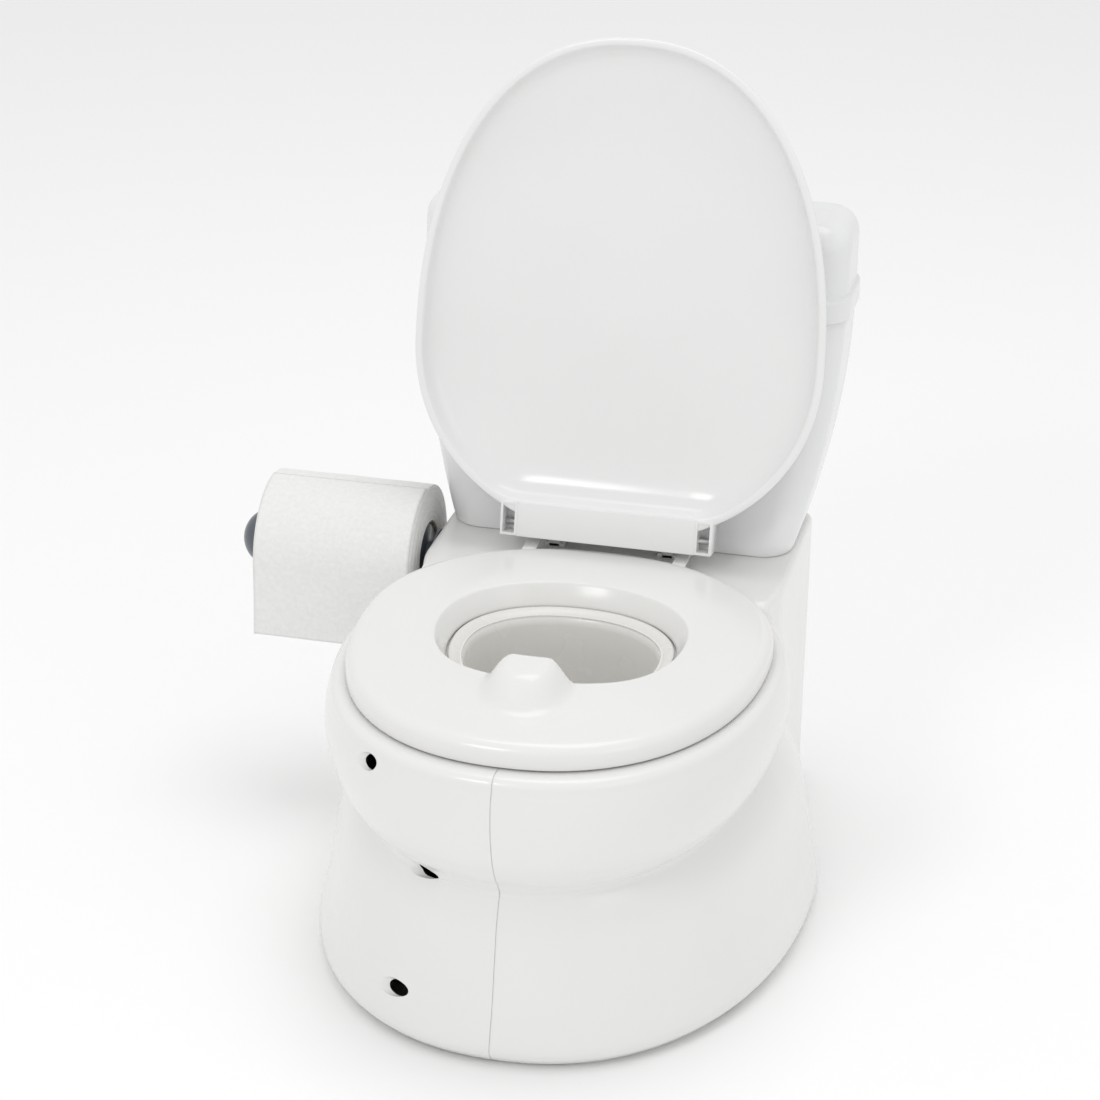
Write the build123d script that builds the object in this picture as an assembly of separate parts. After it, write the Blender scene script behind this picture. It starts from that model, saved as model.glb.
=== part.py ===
from build123d import *
import math
import os

os.makedirs("parts", exist_ok=True)

# Frame: +Z up, the front faces -Y, X is across; the origin is on the floor in the plane of symmetry.
# All lengths are in millimetres.

# Body
WALL = 2.6
FLOOR_GAP = 3.0
RIM_Z = 169.5
DECK_Z = 177.0
COLUMN_HALF = 105.0
COLUMN_FRONT = -75.0
COLUMN_BACK = 112.0
COLUMN_FRONT_CORNER = 70.0
COLUMN_BACK_CORNER = 16.0

# Seat ring, pot and the gaps around them
SEAT_HALF = 113.5
SEAT_FRONT = -248.0
SEAT_BACK = 4.0
SEAT_MIDDLE = -103.0
SEAT_BOTTOM = 170.5
SEAT_TOP = 184.0
SEAT_GAP = 1.5
OPENING_HALF = 62.0
OPENING_FRONT = -172.0
OPENING_BACK = -54.0
OPENING_MIDDLE = -108.0
OPENING_FLARE = 7.0
GUARD_HEIGHT = 14.0
POT_GAP = 0.9
POT_FLANGE = 2.5
POT_WALL = 2.2
POT_BOTTOM = 62.0
POT_HOLE_INSET = 8.0

# Toilet lid and its hinge
LID_HALF = 118.0
LID_LENGTH = 284.0
LID_WIDEST = 108.0
LID_DEPTH = 17.5
LID_WALL = 2.5
LID_BACK = 8.0
LID_RIM_Z = 186.5
LID_PLATE = 3.0
LID_OPEN = 100.7
HINGE_Y = 4.4
HINGE_Z = 194.4
PIN_R = 2.0
PIN_FIT = 0.05
BARREL_R = 4.4
KNUCKLE_X = 57.0
KNUCKLE_WIDTH = 10.4
LUG_X = 44.0
LUG_WIDTH = 8.0
LUG_LOW = 181.2
LUG_HIGH = 183.2
BLOCK_X = 33.5
BLOCK_WIDTH = 7.0
BLOCK_BASE = 12.0
LEG_FRONT = 8.0
LEG_BACK = 10.6
BAR_BACK = 7.2

# Tank
TANK_WALL = 2.5
TANK_TOP = 317.0
TANK_LID_TOP = 372.0
TANK_BACK = 111.0
BAND_HEIGHT = 13.0

# Toilet roll and its holder
ROLL_Y = 20.0
ROLL_Z = 160.0
ROLL_R = 42.0
ROLL_END = -111.5
ROLL_LENGTH = 96.0
CORE_R = 20.5
CORE_BORE = 19.5
SPINDLE_R = 18.9
NECK_R = 8.0
NECK_FIT = 0.05
KNOB_R = 17.5
SOCKET_R = 13.0
SOCKET_DEPTH = 14.0
SOCKET_FLANGE = 1.6
SHEET_THICK = 0.8
SHEET_GAP = 0.4
SHEET_DROP = 44.0

# Screws, with the body ones as (y, z) and the tank ones as (x, y)
SCREW_SHANK_R = 1.6
SCREW_HEAD_R = 3.2
BOSS_R = 6.4
POCKET_R = 4.0
SHANK_PLAY = 0.2
BODY_SCREWS = [(-237.5, 159.0), (-232.0, 97.0), (-243.5, 30.0), (98.0, 30.0), (98.0, 95.0), (98.0, 160.0)]
HEAD_X = -9.0
HEAD_HEIGHT = 3.0
PAN_HEIGHT = 2.4
TANK_SCREWS = [(-60.0, 46.0), (60.0, 46.0), (-60.0, 92.0), (60.0, 92.0)]
TANK_SCREW_DEPTH = 12.0
HINGE_SCREW_Y = HINGE_Y + 12.0
HINGE_SCREW_RISE = 9.0

# Feet, as x, y and turn in degrees
FEET = {
    "foot_front_left": (-97.0, -178.0, -50.0),
    "foot_front_right": (97.0, -178.0, 50.0),
    "foot_rear_left": (-82.0, 88.0, 0.0),
    "foot_rear_right": (82.0, 88.0, 0.0),
}
FOOT_LENGTH = 34.0
FOOT_WIDTH = 15.0
FOOT_INSET = 1.0
FOOT_PLAY = 0.1

OUTLINE_POINTS = 16


def oval(z, half, front, back, middle, nose=2.2, tail=2.15, inset=0.0):
    """Closed egg-shaped outline at height z. nose and tail say how square the two ends are."""
    points = []
    for step in range(OUTLINE_POINTS):
        angle = 2 * math.pi * (step + 0.5) / OUTLINE_POINTS
        across, along = math.cos(angle), math.sin(angle)
        power = 2 / (nose if along < 0 else tail)
        reach = (middle - front if along < 0 else back - middle) - inset
        x = (half - inset) * math.copysign(abs(across) ** power, across)
        y = middle + reach * math.copysign(abs(along) ** power, along)
        points.append((x, y, z))
    return Face(Wire([Edge.make_spline(points, periodic=True)]))


def stack(sections, inset=0.0, ruled=True):
    """Solid through a list of oval arguments, from the lowest to the highest."""
    return Solid.make_loft([oval(*section, inset=inset).outer_wire() for section in sections], ruled)


def prism(face, height):
    return extrude(face, amount=height, dir=(0, 0, 1))


def block(x, y, z):
    """Box from its lowest and highest coordinate on each axis."""
    size = [high - low for low, high in (x, y, z)]
    centre = [(low + high) / 2 for low, high in (x, y, z)]
    return Pos(*centre) * Box(*size)


def rod(x_from, x_to, radius, y, z):
    """Cylinder along X."""
    length = abs(x_to - x_from)
    return Pos((x_from + x_to) / 2, y, z) * Rot(0, 90, 0) * Cylinder(radius, length)


def post(x, y, z_from, z_to, radius):
    """Cylinder along Z."""
    return Pos(x, y, (z_from + z_to) / 2) * Cylinder(radius, z_to - z_from)


def save(shape, name):
    shape.label = name
    export_step(shape, f"parts/{name}.step")


def both_sides(make, name):
    """Write a left and a right copy; make(side) builds the one on that side of the middle."""
    for side, word in ((-1, "left"), (1, "right")):
        save(make(side), f"{name}_{word}")


# ---- body ----

PEDESTAL = [
    (3.0, 133.5, -256.5, 70.0, -60.0),
    (8.0, 138.0, -261.0, 75.0, -60.0),
    (18.0, 137.5, -260.5, 75.0, -60.0),
    (30.0, 134.5, -257.0, 72.0, -60.0),
    (58.0, 130.0, -251.5, 68.0, -60.0),
    (83.0, 125.0, -247.0, 62.0, -60.0),
    (95.0, 119.5, -243.0, 56.0, -60.0),
    (108.0, 113.0, -236.0, 50.0, -60.0),
    (130.0, 100.0, -208.0, 30.0, -60.0),
]
BOWL = [
    (93.0, 84.0, -234.0, -10.0, -105.0),
    (103.0, 104.0, -247.0, 5.0, -105.0),
    (115.0, 114.5, -255.0, 15.0, -105.0),
    (130.0, 121.0, -260.0, 20.0, -105.0),
    (147.0, 124.0, -262.0, 20.0, -105.0),
    (160.0, 122.5, -260.5, 20.0, -105.0),
    (166.5, 120.0, -257.5, 18.0, -105.0),
    (RIM_Z, 116.5, -253.5, 15.0, -105.0),
]


def raised(sections, low, high):
    """The same sections between two heights, for the hollow inside a wall."""
    first, last = sections[0], sections[-1]
    inner = [section for section in sections if low < section[0] < high]
    return [(low, *first[1:])] + inner + [(high, *last[1:])]


def seat_outline(z, grow):
    return oval(z, SEAT_HALF, SEAT_FRONT, SEAT_BACK, SEAT_MIDDLE, inset=-grow)


def column(inset=0.0):
    """Rear column under the tank, with its top edge eased."""
    half = COLUMN_HALF - inset
    depth = (COLUMN_FRONT + inset, COLUMN_BACK - inset)
    solid = block((-half, half), depth, (FLOOR_GAP + inset, DECK_Z - inset))
    front = solid.edges().filter_by(Axis.Z).group_by(Axis.Y)[0]
    solid = fillet(front, COLUMN_FRONT_CORNER - inset)
    back = solid.edges().filter_by(Axis.Z).group_by(Axis.Y)[-1]
    solid = fillet(back, COLUMN_BACK_CORNER - inset)
    return solid if inset else chamfer(solid.faces().sort_by(Axis.Z)[-1].edges(), 2.5)


def make_body():
    outer = stack(PEDESTAL) + stack(BOWL) + column()
    outer -= prism(seat_outline(RIM_Z, SEAT_GAP), 20)
    hollow = stack(raised(PEDESTAL, FLOOR_GAP + WALL, PEDESTAL[-1][0] - WALL), inset=WALL)
    hollow += stack(raised(BOWL, BOWL[0][0] + WALL, RIM_Z - WALL), inset=WALL)
    hollow += column(WALL) - prism(seat_outline(RIM_Z - WALL, SEAT_GAP + WALL), 20)
    for y, z in BODY_SCREWS:
        hollow -= rod(-150, 150, BOSS_R, y, z)
    for x, y in TANK_SCREWS:
        hollow -= post(x, y, DECK_Z - TANK_SCREW_DEPTH - 2, DECK_Z, BOSS_R - 1.9)
    body = outer - hollow
    mouth = (OPENING_HALF, OPENING_FRONT, OPENING_BACK, OPENING_MIDDLE)
    cuts = [prism(oval(RIM_Z - 10, *mouth, inset=POT_HOLE_INSET), 20)]
    for y, z in BODY_SCREWS:
        cuts.append(rod(-160, HEAD_X, POCKET_R, y, z))
        cuts.append(rod(HEAD_X, 0, SCREW_SHANK_R + SHANK_PLAY, y, z))
        cuts.append(rod(0, 12, SCREW_SHANK_R, y, z))
    for place in FEET.values():
        cuts.append(foot_pad(place, FLOOR_GAP, FOOT_INSET, FOOT_PLAY))
    for x, y in TANK_SCREWS:
        cuts.append(post(x, y, DECK_Z - TANK_SCREW_DEPTH - 1, DECK_Z + 1, SCREW_SHANK_R))
    for x in (-BLOCK_X, BLOCK_X):
        cuts.append(post(x, HINGE_SCREW_Y, DECK_Z - 5, DECK_Z + 1, SCREW_SHANK_R + SHANK_PLAY))
    cuts.append(rod(-COLUMN_HALF - 5, -COLUMN_HALF + 10, SOCKET_R, ROLL_Y, ROLL_Z))
    return body - cuts


# ---- feet ----

def foot_pad(place, z_from, height, grow=0.0):
    """Oblong pad that follows the rim of the base; place is x, y and its turn."""
    x, y, turn = place
    width = FOOT_WIDTH + 2 * grow
    outline = RectangleRounded(FOOT_LENGTH + 2 * grow, width, width / 2 - 0.1)
    return Pos(x, y, z_from) * Rot(0, 0, turn) * prism(outline, height)


# ---- screws ----

def make_body_screws():
    screws = []
    for y, z in BODY_SCREWS:
        head = rod(HEAD_X - HEAD_HEIGHT, HEAD_X, SCREW_HEAD_R, y, z)
        screws.append(head + rod(HEAD_X, 11, SCREW_SHANK_R, y, z))
    return Compound(children=screws)


def make_tank_screws():
    top = DECK_Z + TANK_WALL
    screws = []
    for x, y in TANK_SCREWS:
        head = post(x, y, top, top + PAN_HEIGHT, SCREW_HEAD_R)
        screws.append(head + post(x, y, DECK_Z - TANK_SCREW_DEPTH, top, SCREW_SHANK_R))
    return Compound(children=screws)


def make_hinge_screws():
    under = DECK_Z - WALL
    screws = []
    for x in (-BLOCK_X, BLOCK_X):
        head = post(x, HINGE_SCREW_Y, under - PAN_HEIGHT, under, SCREW_HEAD_R)
        screws.append(head + post(x, HINGE_SCREW_Y, under, DECK_Z + HINGE_SCREW_RISE, SCREW_SHANK_R))
    return Compound(children=screws)


# ---- tank ----

def tank_section(z, grow=0.0):
    """Rounded rectangle: the tank widens and its front leans back towards the top."""
    rise = (z - DECK_Z) / (TANK_LID_TOP - DECK_Z)
    half = 101.0 + 22.5 * math.sin(min(rise / 0.72, 1.0) * math.pi / 2) ** 0.9 + grow
    front = 28.0 + 21.0 * rise - grow
    return half, front


def tank_outline(z, grow=0.0):
    half, front = tank_section(z, grow)
    back = TANK_BACK + grow
    corner = 18.0 + grow
    outline = RectangleRounded(2 * half, back - front, corner)
    return (Pos(0, (front + back) / 2, z) * outline).face().outer_wire()


def tank_stack(heights, grow=0.0):
    return Solid.make_loft([tank_outline(z, grow) for z in heights], True)


def make_tank():
    heights = [DECK_Z, DECK_Z + 20, DECK_Z + 45, DECK_Z + 75, DECK_Z + 105, TANK_TOP]
    tank = tank_stack(heights)
    tank -= tank_stack([DECK_Z + TANK_WALL] + heights[1:-1] + [TANK_TOP + 0.5], -TANK_WALL)
    for x, y in TANK_SCREWS:
        tank -= post(x, y, DECK_Z - 1, DECK_Z + 5, SCREW_SHANK_R + SHANK_PLAY)
    return tank


def make_tank_lid():
    top = TANK_LID_TOP
    shell = tank_stack([TANK_TOP, top - 9], 0.3)
    dome = [tank_outline(top - 9, 0.3), tank_outline(top - 3, -2.5), tank_outline(top, -9)]
    shell += Solid.make_loft(dome, True)
    shell += tank_stack([TANK_TOP, TANK_TOP + BAND_HEIGHT], 2.3)
    shell -= tank_stack([TANK_TOP - 1, top - 12], -TANK_WALL)
    shell -= Solid.make_loft([tank_outline(top - 12, -TANK_WALL), tank_outline(top - 3, -11)], True)
    lip = tank_stack([TANK_TOP - 6, TANK_TOP + 6], -TANK_WALL - 1.8)
    lip -= tank_stack([TANK_TOP - 7, TANK_TOP + 7], -TANK_WALL - 4)
    ledge = tank_stack([TANK_TOP, TANK_TOP + 3], -TANK_WALL + 0.3)
    ledge -= tank_stack([TANK_TOP - 1, TANK_TOP + 4], -TANK_WALL - 4)
    return shell + ledge + lip


# ---- hinge ----

def hinge_arm(x, width, z_low):
    """Barrel on the hinge line and an arm back to a leg that drops to z_low behind it."""
    span = (x - width / 2, x + width / 2)
    barrel = rod(*span, BARREL_R, HINGE_Y, HINGE_Z)
    arm = block(span, (HINGE_Y, HINGE_Y + LEG_BACK), (HINGE_Z - 2.2, HINGE_Z + 2.2))
    leg = block(span, (HINGE_Y + LEG_FRONT, HINGE_Y + LEG_BACK), (z_low, HINGE_Z + 2.2))
    return barrel + arm + leg


def make_hinge_block(side):
    x = side * BLOCK_X
    front = HINGE_Y + LEG_FRONT
    base = block((x - BLOCK_BASE / 2, x + BLOCK_BASE / 2), (front, front + 9), (DECK_Z, DECK_Z + 3))
    rib = block((x - BLOCK_WIDTH / 2, x + BLOCK_WIDTH / 2), (front, front + 8), (DECK_Z, DECK_Z + 12))
    part = hinge_arm(x, BLOCK_WIDTH, DECK_Z) + base + rib
    part -= post(x, HINGE_SCREW_Y, DECK_Z - 1, DECK_Z + HINGE_SCREW_RISE, SCREW_SHANK_R)
    return part - rod(x - 10, x + 10, PIN_R, HINGE_Y, HINGE_Z)


def make_hinge_pin(side):
    inner_end = BLOCK_X - BLOCK_WIDTH / 2
    outer_end = KNUCKLE_X + KNUCKLE_WIDTH / 2
    return rod(side * inner_end, side * outer_end, PIN_R, HINGE_Y, HINGE_Z)


# ---- seat ring ----

def make_seat():
    def ring(z, grow=0.0):
        return (z, SEAT_HALF + grow, SEAT_FRONT - grow, SEAT_BACK + grow, SEAT_MIDDLE)

    def mouth(z, grow=0.0):
        return (z, OPENING_HALF + grow, OPENING_FRONT - grow, OPENING_BACK + grow, OPENING_MIDDLE)

    solid = stack([ring(SEAT_BOTTOM), ring(SEAT_TOP - 5), ring(SEAT_TOP - 2, -1.5), ring(SEAT_TOP, -5)])
    guard = stack([
        (SEAT_TOP - 4, 27.0, -216.0, -166.0, -184.0),
        (SEAT_TOP + GUARD_HEIGHT * 0.55, 22.0, -200.0, -170.0, -182.0),
        (SEAT_TOP + GUARD_HEIGHT, 15.0, -190.0, -174.0, -180.0),
    ])
    solid += guard
    channel = stack([ring(SEAT_BOTTOM - 1, -3), ring(SEAT_TOP - 3.5, -5)])
    channel -= stack([mouth(SEAT_BOTTOM - 2, 3), mouth(SEAT_TOP, 5)])
    solid -= channel
    solid -= stack([mouth(SEAT_BOTTOM - 1), mouth(SEAT_TOP - 7), mouth(SEAT_TOP - 2, 2.5),
                    mouth(SEAT_TOP, OPENING_FLARE), mouth(SEAT_TOP + 20, OPENING_FLARE)])
    for side in (-1, 1):
        x = side * LUG_X
        span = (x - LUG_WIDTH / 2, x + LUG_WIDTH / 2)
        solid += hinge_arm(x, LUG_WIDTH, LUG_LOW)
        solid += block(span, (-12, HINGE_Y + LEG_BACK), (LUG_LOW, LUG_HIGH))
        solid -= rod(x - 6, x + 6, PIN_R + PIN_FIT, HINGE_Y, HINGE_Z)
    return solid


# ---- pot ----

def make_pot():
    def around(z, inset):
        return (z, OPENING_HALF - inset, OPENING_FRONT + inset, OPENING_BACK - inset, OPENING_MIDDLE)

    flange = stack([around(RIM_Z, POT_GAP), around(RIM_Z + POT_FLANGE, POT_GAP)])
    top_inset = POT_HOLE_INSET + 1
    levels = [(POT_BOTTOM, 24.0), (POT_BOTTOM + 4, 19.0), (POT_BOTTOM + 18, 14.5), (RIM_Z, top_inset)]
    outside = stack([around(z, inset) for z, inset in levels])
    lifted = [(POT_BOTTOM + POT_WALL, 24.0), (POT_BOTTOM + 6, 19.0), (POT_BOTTOM + 18, 14.5),
              (RIM_Z + POT_FLANGE + 1, top_inset)]
    inside = stack([around(z, inset + POT_WALL) for z, inset in lifted])
    return flange + outside - inside


# ---- toilet lid ----

def lid_section(z, inset):
    front = LID_BACK - LID_LENGTH
    return (z, LID_HALF, front, LID_BACK, LID_BACK - LID_WIDEST, 2.24, 2.1, inset)


def lid_dome(grow):
    """Shallow dish standing on the rim plane, as it lies when shut."""
    levels = [(0.0, 0.0), (0.25, 1.0), (0.55, 5.0), (0.8, 12.0), (0.95, 22.0), (1.0, 34.0)]
    faces = []
    for level, inset in levels:
        z = LID_RIM_Z + level * (LID_DEPTH - grow) - (1.0 if grow and level == 0.0 else 0.0)
        faces.append(oval(*lid_section(z, inset + grow)[:7], inset=inset + grow).outer_wire())
    return Solid.make_loft(faces, True)


def make_lid():
    cut_front = HINGE_Y - 11.5
    notch = block((-63, 63), (cut_front, 40), (LID_RIM_Z + LID_PLATE, 230))
    inner_notch = block((-63 - LID_WALL, 63 + LID_WALL), (cut_front - LID_WALL, 40), (LID_RIM_Z - 5, 230))
    dish = (lid_dome(0.0) - notch) - (lid_dome(LID_WALL) - inner_notch)
    half = KNUCKLE_WIDTH / 2
    end = KNUCKLE_X + half
    dish += block((-end, end), (cut_front - LID_WALL, HINGE_Y + BAR_BACK), (LID_RIM_Z, LID_RIM_Z + LID_PLATE))
    for side in (-1, 1):
        x = side * KNUCKLE_X
        dish += block((x - half, x + half), (cut_front - 1, HINGE_Y + 7), (LID_RIM_Z, HINGE_Z + 5))
        hollow = (x - half + 2, x + half - 2)
        dish -= block(hollow, (cut_front + 1.5, HINGE_Y + 5), (LID_RIM_Z - 1, HINGE_Z + 3))
        dish -= rod(x - half - 1, x + half + 1, PIN_R + PIN_FIT, HINGE_Y, HINGE_Z)
    return dish.rotate(Axis((0, HINGE_Y, HINGE_Z), (-1, 0, 0)), LID_OPEN)


# ---- toilet roll and holder ----

def make_socket():
    """Collar set in the side wall, with a flange outside and a bore for the spindle's neck."""
    wall_x = -COLUMN_HALF
    outside = wall_x - SOCKET_FLANGE
    collar = rod(outside, wall_x + SOCKET_DEPTH, SOCKET_R, ROLL_Y, ROLL_Z)
    collar += rod(outside, wall_x - 0.02, SOCKET_R + 3, ROLL_Y, ROLL_Z)
    return collar - rod(wall_x - 5, wall_x + SOCKET_DEPTH - 3, NECK_R + NECK_FIT, ROLL_Y, ROLL_Z)


def make_spindle():
    neck = rod(ROLL_END - 1, -COLUMN_HALF + 10, NECK_R, ROLL_Y, ROLL_Z)
    drum = rod(ROLL_END - ROLL_LENGTH + 2, ROLL_END - 1, SPINDLE_R, ROLL_Y, ROLL_Z)
    drum -= rod(ROLL_END - ROLL_LENGTH + 1, ROLL_END - 5, SPINDLE_R - 2.5, ROLL_Y, ROLL_Z)
    return drum + neck


def make_knob():
    far_end = ROLL_END - ROLL_LENGTH
    ball = Pos(far_end - 1, ROLL_Y, ROLL_Z) * Sphere(KNOB_R)
    ball &= block((far_end - 40, far_end - 1), (-30, 70), (100, 220))
    return ball + rod(far_end - 1, far_end + 16, SPINDLE_R - 2.5, ROLL_Y, ROLL_Z)


def make_core():
    tube = rod(ROLL_END - ROLL_LENGTH, ROLL_END, CORE_R, ROLL_Y, ROLL_Z)
    return tube - rod(ROLL_END - ROLL_LENGTH - 1, ROLL_END + 1, CORE_BORE, ROLL_Y, ROLL_Z)


def make_paper():
    wound = rod(ROLL_END - ROLL_LENGTH, ROLL_END, ROLL_R, ROLL_Y, ROLL_Z)
    return wound - rod(ROLL_END - ROLL_LENGTH - 1, ROLL_END + 1, CORE_R, ROLL_Y, ROLL_Z)


def make_loose_sheet():
    """Last sheet: a quarter turn over the front of the roll, then straight down."""
    inner = ROLL_R + SHEET_GAP
    outer = inner + SHEET_THICK
    x = (ROLL_END - ROLL_LENGTH + 0.5, ROLL_END - 0.5)
    wrap = rod(x[0], x[1], outer, ROLL_Y, ROLL_Z) - rod(x[0] - 1, x[1] + 1, inner, ROLL_Y, ROLL_Z)
    wrap &= block(x, (ROLL_Y - outer - 1, ROLL_Y), (ROLL_Z, ROLL_Z + outer + 1))
    hang = block(x, (ROLL_Y - outer, ROLL_Y - inner), (ROLL_Z - SHEET_DROP, ROLL_Z))
    return wrap + hang


body = make_body()
halves = (("body_left_half", (-300, 0)), ("body_right_half", (0, 300)))
for name, x_range in halves:
    save(body & block(x_range, (-400, 300), (-10, 300)), name)
save(make_body_screws(), "body_screws")
for name, place in FEET.items():
    save(foot_pad(place, 0.0, FLOOR_GAP + FOOT_INSET), name)
save(make_tank(), "tank")
save(make_tank_lid(), "tank_lid")
save(make_tank_screws(), "tank_screws")
both_sides(make_hinge_block, "hinge_block")
both_sides(make_hinge_pin, "hinge_pin")
save(make_hinge_screws(), "hinge_screws")
save(make_lid(), "toilet_lid")
save(make_seat(), "seat_ring")
save(make_pot(), "pot")
save(make_socket(), "roll_socket")
save(make_spindle(), "roll_spindle")
save(make_knob(), "roll_knob")
save(make_core(), "roll_core")
save(make_paper(), "roll_paper")
save(make_loose_sheet(), "loose_sheet")
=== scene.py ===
import math
import bmesh
import bpy
import numpy as np
from mathutils import Matrix, Vector


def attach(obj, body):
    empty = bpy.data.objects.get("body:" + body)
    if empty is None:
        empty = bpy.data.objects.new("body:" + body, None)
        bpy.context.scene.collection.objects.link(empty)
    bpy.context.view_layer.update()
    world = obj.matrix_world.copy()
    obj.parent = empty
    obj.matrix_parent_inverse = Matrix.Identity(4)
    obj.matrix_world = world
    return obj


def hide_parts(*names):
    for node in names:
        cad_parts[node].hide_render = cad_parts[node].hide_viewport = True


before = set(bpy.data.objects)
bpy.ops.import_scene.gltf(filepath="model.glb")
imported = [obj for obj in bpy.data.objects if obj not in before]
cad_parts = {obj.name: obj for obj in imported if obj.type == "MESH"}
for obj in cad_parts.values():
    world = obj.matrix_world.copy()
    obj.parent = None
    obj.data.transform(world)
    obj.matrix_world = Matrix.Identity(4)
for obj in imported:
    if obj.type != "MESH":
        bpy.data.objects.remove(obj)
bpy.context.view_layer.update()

# Lengths below are in millimetres and are turned into metres when a mesh is made.
MM = 0.001


# ---- mesh helpers ----

def add_mesh(name, verts, faces, sharp=40.0):
    """Object from points in millimetres, with smooth shading up to the sharp angle."""
    bm = bmesh.new()
    made = [bm.verts.new((x * MM, y * MM, z * MM)) for x, y, z in verts]
    for face in faces:
        if len(set(face)) > 2:
            bm.faces.new([made[i] for i in face])
    bmesh.ops.remove_doubles(bm, verts=bm.verts, dist=2e-6)
    bmesh.ops.recalc_face_normals(bm, faces=bm.faces)
    for face in bm.faces:
        face.smooth = True
    mesh = bpy.data.meshes.new(name)
    bm.to_mesh(mesh)
    bm.free()
    mesh.set_sharp_from_angle(angle=math.radians(sharp))
    obj = bpy.data.objects.new(name, mesh)
    bpy.context.scene.collection.objects.link(obj)
    return obj


def skin(name, rings, closed=True, cap_first=False, cap_last=False, loop=False, sharp=40.0):
    """Quads between successive rings of points. loop joins the last ring to the first."""
    count = len(rings[0])
    verts = [tuple(p) for ring in rings for p in ring]
    faces = []
    last = len(rings) if loop else len(rings) - 1
    for j in range(last):
        k = (j + 1) % len(rings)
        for i in range(count if closed else count - 1):
            n = (i + 1) % count
            faces.append((j * count + i, j * count + n, k * count + n, k * count + i))
    for ring, wanted in ((0, cap_first), (len(rings) - 1, cap_last)):
        if wanted:
            middle = np.mean(np.array(rings[ring]), axis=0)
            verts.append(tuple(middle))
            for i in range(count):
                faces.append((ring * count + i, ring * count + (i + 1) % count, len(verts) - 1))
    return add_mesh(name, verts, faces, sharp)


def lathe(name, profile, origin, axis="x", count=64, loop=False, wobble=None):
    """Turned shape: profile is a list of (radius, distance along the axis)."""
    rings = []
    for radius, along in profile:
        ring = []
        for i in range(count):
            angle = 2 * math.pi * i / count
            r = radius * (1 + (wobble(angle, along) if wobble else 0))
            u, v = r * math.cos(angle), r * math.sin(angle)
            local = (along, u, v) if axis == "x" else (u, v, along)
            ring.append(tuple(o + p for o, p in zip(origin, local)))
        rings.append(ring)
    return skin(name, rings, cap_first=not loop, cap_last=not loop, loop=loop, sharp=50)


def apply_modifiers(obj):
    graph = bpy.context.evaluated_depsgraph_get()
    mesh = bpy.data.meshes.new_from_object(obj.evaluated_get(graph))
    obj.modifiers.clear()
    obj.data = mesh
    return obj


def bevel(obj, width, segments=2, angle=35.0):
    m = obj.modifiers.new("bevel", "BEVEL")
    m.width = width * MM
    m.segments = segments
    m.limit_method = "ANGLE"
    m.angle_limit = math.radians(angle)
    apply_modifiers(obj)
    obj.data.set_sharp_from_angle(angle=math.radians(50))
    return obj


def extrude_x(name, outline, x_from, x_to, width=0.5):
    """Solid with an outline in the side view, (y, z), between two x, with eased edges."""
    count = len(outline)
    verts = [(x, y, z) for x in (x_from, x_to) for y, z in outline]
    faces = [tuple(range(count)), tuple(range(count, 2 * count))]
    for i in range(count):
        n = (i + 1) % count
        faces.append((i, n, count + n, count + i))
    return bevel(add_mesh(name, verts, faces), width)


def box(name, x, y, z, width=0.5):
    outline = [(y[0], z[0]), (y[1], z[0]), (y[1], z[1]), (y[0], z[1])]
    return extrude_x(name, outline, x[0], x[1], width)


def cut(obj, *tools):
    for tool in tools:
        m = obj.modifiers.new("cut", "BOOLEAN")
        m.operation = "DIFFERENCE"
        m.solver = "EXACT"
        m.object = tool
    apply_modifiers(obj)
    for tool in tools:
        bpy.data.objects.remove(tool)
    obj.data.set_sharp_from_angle(angle=math.radians(40))
    return obj


def join(name, *objs):
    bm = bmesh.new()
    for o in objs:
        bm.from_mesh(o.data)
    mesh = bpy.data.meshes.new(name)
    bm.to_mesh(mesh)
    bm.free()
    for o in objs:
        bpy.data.objects.remove(o)
    obj = bpy.data.objects.new(name, mesh)
    bpy.context.scene.collection.objects.link(obj)
    return obj


def finish_piece(obj, body, slot, material, *nodes):
    obj.data.materials.clear()
    obj.data.materials.append(material)
    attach(obj, body)
    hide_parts(*nodes)
    return obj


# ---- shape helpers ----

def smoothstep(t):
    t = np.clip(t, 0.0, 1.0)
    return t * t * (3 - 2 * t)


def smooth_max(a, b, k):
    h = np.maximum(k - np.abs(a - b), 0.0) / k
    return np.maximum(a, b) + h * h * k / 4


def smooth_min(a, b, k):
    return -smooth_max(-a, -b, k)


def through(z, table):
    """Row of a table at height z, with a smooth curve through its rows."""
    table = np.array(table, float)
    heights = table[:, 0]
    z = float(np.clip(z, heights[0], heights[-1]))
    i = int(np.clip(np.searchsorted(heights, z) - 1, 0, len(heights) - 2))
    slopes = np.gradient(table[:, 1:], heights, axis=0)
    step = heights[i + 1] - heights[i]
    t = (z - heights[i]) / step
    a, b = table[i, 1:], table[i + 1, 1:]
    return ((2 * t**3 - 3 * t**2 + 1) * a + (t**3 - 2 * t**2 + t) * step * slopes[i]
            + (3 * t**2 - 2 * t**3) * b + (t**3 - t**2) * step * slopes[i + 1])


def reach(theta, centre_y, outside):
    """Distance from (0, centre_y) to an outline in each direction; outside(x, y) is true beyond it."""
    low, high = np.zeros_like(theta), np.full_like(theta, 400.0)
    for _ in range(36):
        mid = (low + high) / 2
        out = outside(mid * np.cos(theta), centre_y + mid * np.sin(theta))
        high = np.where(out, mid, high)
        low = np.where(out, low, mid)
    return (low + high) / 2


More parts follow.
